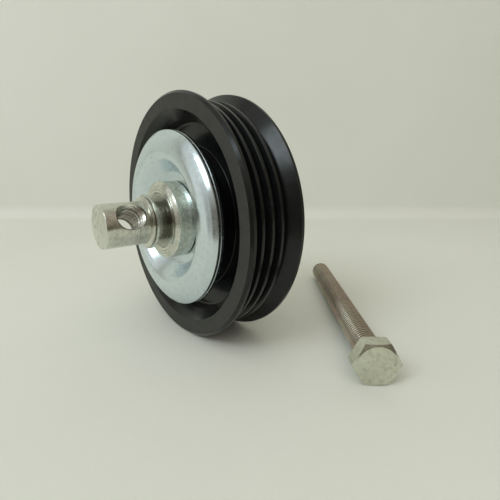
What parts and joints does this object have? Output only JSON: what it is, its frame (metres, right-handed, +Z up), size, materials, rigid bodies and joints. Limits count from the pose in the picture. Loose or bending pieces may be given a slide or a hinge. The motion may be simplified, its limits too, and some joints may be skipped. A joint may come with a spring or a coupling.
{
  "type": "belt tensioner idler",
  "caption": "Ribbed belt tensioner idler: black flanged pulley on a sealed ball bearing, zinc spindle with a threaded slide block, dust covers and a loose adjusting bolt.",
  "frame": {"origin": "on the spindle's axis, in the plane of the collar face that bears on the engine bracket", "axes": "-Y along the spindle towards the threaded slide block, +Y towards the pulley, +Z up as the idler stands on its rim"},
  "size_m": [0.1083, 0.1117, 0.08],
  "materials": {
    "zinc_turned": "bright zinc plate over turned steel",
    "zinc_sheet": "blue-white zinc plate over stamped steel sheet",
    "zinc_bolt": "yellowish zinc plate, slightly dull",
    "black_paint": "semi-gloss black coating",
    "bearing_steel": "ground bearing steel",
    "spring_steel": "dark phosphated spring steel",
    "seal_rubber": "moulded nitrile rubber"
  },
  "bodies": {
    "spindle": {"spindle": "zinc_turned", "front_dust_cover": "zinc_sheet", "front_spacer": "zinc_turned", "bearing_inner_ring": "bearing_steel", "rear_spacer": "zinc_turned", "rear_dust_cover": "zinc_sheet", "rear_washer": "zinc_turned", "spindle_circlip": "spring_steel"},
    "pulley": {"grooved_pulley": "black_paint", "bearing_outer_ring": "bearing_steel", "bearing_front_seal": "seal_rubber", "bearing_rear_seal": "seal_rubber", "hub_circlip": "spring_steel"},
    "ball_cage": {"cage_front_half": "bearing_steel", "cage_rear_half": "bearing_steel", "cage_rivet_1": "bearing_steel", "cage_rivet_2": "bearing_steel", "cage_rivet_3": "bearing_steel", "cage_rivet_4": "bearing_steel", "cage_rivet_5": "bearing_steel", "cage_rivet_6": "bearing_steel", "cage_rivet_7": "bearing_steel", "cage_rivet_8": "bearing_steel"},
    "ball_1": {"bearing_ball_1": "bearing_steel"},
    "ball_2": {"bearing_ball_2": "bearing_steel"},
    "ball_3": {"bearing_ball_3": "bearing_steel"},
    "ball_4": {"bearing_ball_4": "bearing_steel"},
    "ball_5": {"bearing_ball_5": "bearing_steel"},
    "ball_6": {"bearing_ball_6": "bearing_steel"},
    "ball_7": {"bearing_ball_7": "bearing_steel"},
    "ball_8": {"bearing_ball_8": "bearing_steel"},
    "adjusting_bolt": {"adjusting_bolt": "zinc_bolt"}
  },
  "joints": [
    {"name": "pulley_spin", "type": "hinge", "parent": "spindle", "child": "pulley", "pos_m": [0, 0.01585, 0], "axis": [0, 1, 0], "continuous": true},
    {"name": "cage_spin", "type": "hinge", "parent": "spindle", "child": "ball_cage", "pos_m": [0, 0.01585, 0], "axis": [0, 1, 0], "continuous": true},
    {"name": "ball_1_roll", "type": "hinge", "parent": "ball_cage", "child": "ball_1", "pos_m": [0.01425, 0.01585, 0], "axis": [0, 1, 0], "continuous": true},
    {"name": "ball_2_roll", "type": "hinge", "parent": "ball_cage", "child": "ball_2", "pos_m": [0.01008, 0.01585, 0.01008], "axis": [0, 1, 0], "continuous": true},
    {"name": "ball_3_roll", "type": "hinge", "parent": "ball_cage", "child": "ball_3", "pos_m": [0, 0.01585, 0.01425], "axis": [0, 1, 0], "continuous": true},
    {"name": "ball_4_roll", "type": "hinge", "parent": "ball_cage", "child": "ball_4", "pos_m": [-0.01008, 0.01585, 0.01008], "axis": [0, 1, 0], "continuous": true},
    {"name": "ball_5_roll", "type": "hinge", "parent": "ball_cage", "child": "ball_5", "pos_m": [-0.01425, 0.01585, 0], "axis": [0, 1, 0], "continuous": true},
    {"name": "ball_6_roll", "type": "hinge", "parent": "ball_cage", "child": "ball_6", "pos_m": [-0.01008, 0.01585, -0.01008], "axis": [0, 1, 0], "continuous": true},
    {"name": "ball_7_roll", "type": "hinge", "parent": "ball_cage", "child": "ball_7", "pos_m": [0, 0.01585, -0.01425], "axis": [0, 1, 0], "continuous": true},
    {"name": "ball_8_roll", "type": "hinge", "parent": "ball_cage", "child": "ball_8", "pos_m": [0.01008, 0.01585, -0.01008], "axis": [0, 1, 0], "continuous": true},
    {"name": "bolt_lift", "type": "slide", "parent": "spindle", "child": "adjusting_bolt", "axis": [0, 0, 1], "range_m": [0, 0.06]}
  ],
  "couplings": [
    {"joint": "cage_spin", "follows": "pulley_spin", "ratio": 0.61825},
    {"joint": "ball_1_roll", "follows": "pulley_spin", "ratio": 1.996},
    {"joint": "ball_2_roll", "follows": "pulley_spin", "ratio": 1.996},
    {"joint": "ball_3_roll", "follows": "pulley_spin", "ratio": 1.996},
    {"joint": "ball_4_roll", "follows": "pulley_spin", "ratio": 1.996},
    {"joint": "ball_5_roll", "follows": "pulley_spin", "ratio": 1.996},
    {"joint": "ball_6_roll", "follows": "pulley_spin", "ratio": 1.996},
    {"joint": "ball_7_roll", "follows": "pulley_spin", "ratio": 1.996},
    {"joint": "ball_8_roll", "follows": "pulley_spin", "ratio": 1.996}
  ]
}
